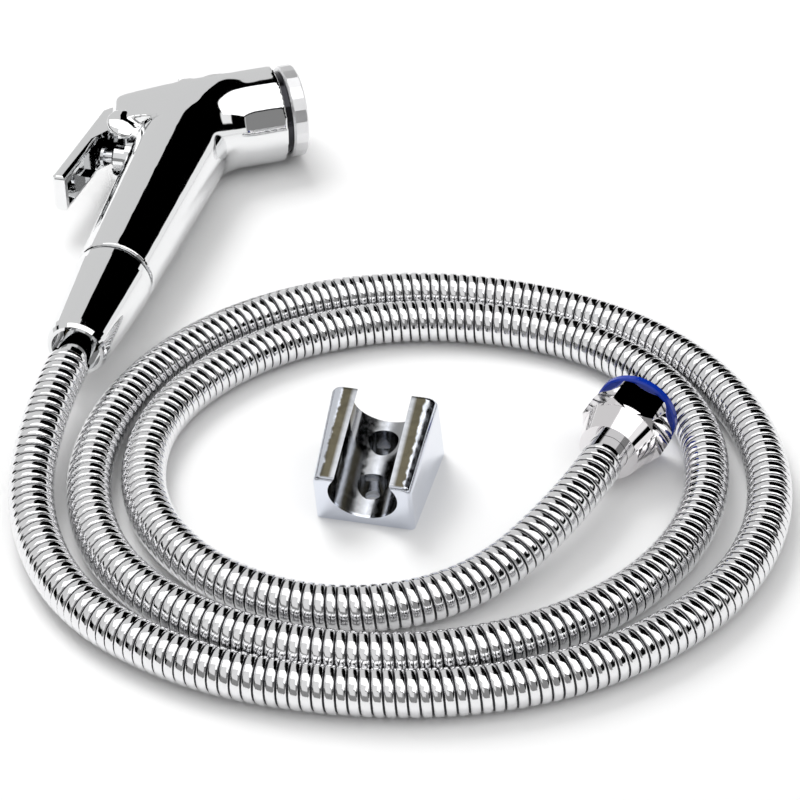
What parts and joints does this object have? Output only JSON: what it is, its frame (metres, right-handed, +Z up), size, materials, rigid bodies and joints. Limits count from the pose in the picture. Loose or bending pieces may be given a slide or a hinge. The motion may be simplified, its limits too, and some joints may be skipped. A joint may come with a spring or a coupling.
{
  "type": "handheld bath sprayer",
  "caption": "Trigger hand sprayer on a strip-wound chrome hose with a hex union nut and a clip-shaped wall bracket, laid on a flat surface.",
  "frame": {"origin": "on the surface under the middle of the box round the sprayer and its bracket, without the hose", "axes": "+Z up from the surface, +Y along the sprayer's handle towards its head, +X towards the side that the nozzle points to"},
  "size_m": [0.2707, 0.3052, 0.036],
  "materials": {
    "chrome": "polished chrome plate",
    "lever_chrome": "polished chrome plate",
    "bonnet_chrome": "polished chrome plate",
    "cap_chrome": "polished chrome plate",
    "neck_chrome": "polished chrome plate, shaded",
    "hose_chrome": "polished strip-wound steel",
    "nut_chrome": "polished chrome plate",
    "bracket_chrome": "polished chrome plate",
    "steel": "bright steel",
    "brass": "turned brass",
    "plate": "satin steel",
    "black_rubber": "matt rubber",
    "blue_ring": "glossy royal blue"
  },
  "bodies": {
    "sprayer": {"spray_body": "chrome", "lever_pin": "steel", "valve_bonnet": "bonnet_chrome", "valve_seat": "brass", "stem_seal": "black_rubber", "valve_spring": "steel", "nozzle_body": "neck_chrome", "nozzle_seal": "black_rubber", "spray_plate": "plate", "nozzle_cap": "cap_chrome", "cone_nut": "chrome", "inlet_washer": "black_rubber", "head_nipple": "brass", "head_ferrule": "chrome", "hose_cover": "hose_chrome", "hose_liner": "black_rubber", "tap_ferrule": "chrome", "tap_nipple": "brass"},
    "lever": {"lever": "lever_chrome"},
    "valve_stem": {"valve_stem": "steel", "valve_disc": "black_rubber"},
    "hex_nut": {"hex_nut": "nut_chrome", "blue_ring": "blue_ring", "tap_washer": "black_rubber"},
    "wall_bracket": {"wall_bracket": "bracket_chrome"}
  },
  "joints": [
    {"name": "lever_press", "type": "hinge", "parent": "sprayer", "child": "lever", "pos_m": [-0.064, 0.063, 0.018], "axis": [0, 0, 1], "range_deg": [0, 16], "stiffness_Nm_per_rad": 0.8, "springref_deg": -11.46},
    {"name": "valve_travel", "type": "slide", "parent": "sprayer", "child": "valve_stem", "axis": [1, 0, 0], "range_m": [0, 0.0031], "deforming": ["valve_spring"]},
    {"name": "nut_spin", "type": "hinge", "parent": "sprayer", "child": "hex_nut", "pos_m": [0.131, -0.08, 0.0142], "axis": [0.2631, 0.9648, 0], "continuous": true},
    {"name": "bracket_lift", "type": "slide", "parent": "sprayer", "child": "wall_bracket", "axis": [0, 0, 1], "range_m": [0, 0.06]}
  ],
  "couplings": [
    {"joint": "valve_travel", "follows": "lever_press", "m_per_rad": 0.011}
  ]
}
